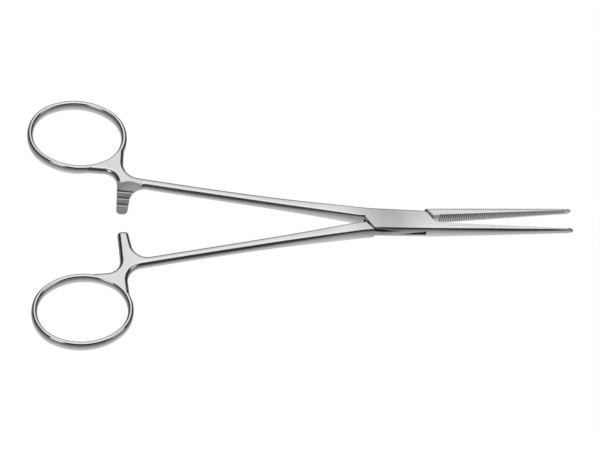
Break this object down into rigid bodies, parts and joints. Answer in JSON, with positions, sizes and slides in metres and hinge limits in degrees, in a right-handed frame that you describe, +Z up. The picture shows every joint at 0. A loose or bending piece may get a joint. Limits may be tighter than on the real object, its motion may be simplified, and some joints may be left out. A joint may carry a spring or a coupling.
{
  "type": "hemostatic forceps",
  "caption": "Straight locking forceps with finger rings, a ratchet, a box lock and slender cross-serrated jaws, for clamping a vessel or holding small work.",
  "frame": {"origin": "pivot axis where it meets the flat underside of the box", "axes": "+X from the pivot to the jaw tips, +Y to the side of the box half's handle, +Z up along the pivot, away from the table"},
  "size_m": [0.1608, 0.0842, 0.005],
  "materials": {
    "forged_steel": "satin flats, polished rings and edges",
    "pin_steel": "satin, ground off level with the box"
  },
  "bodies": {
    "box_body": {"box_half": "forged_steel", "pivot_pin": "pin_steel"},
    "tongue_body": {"tongue_half": "forged_steel"}
  },
  "joints": [
    {"name": "box_lock", "type": "hinge", "parent": "box_body", "child": "tongue_body", "pos_m": [0, 0, 0.0025], "axis": [0, 0, 1], "range_deg": [-6.8, 45]}
  ]
}
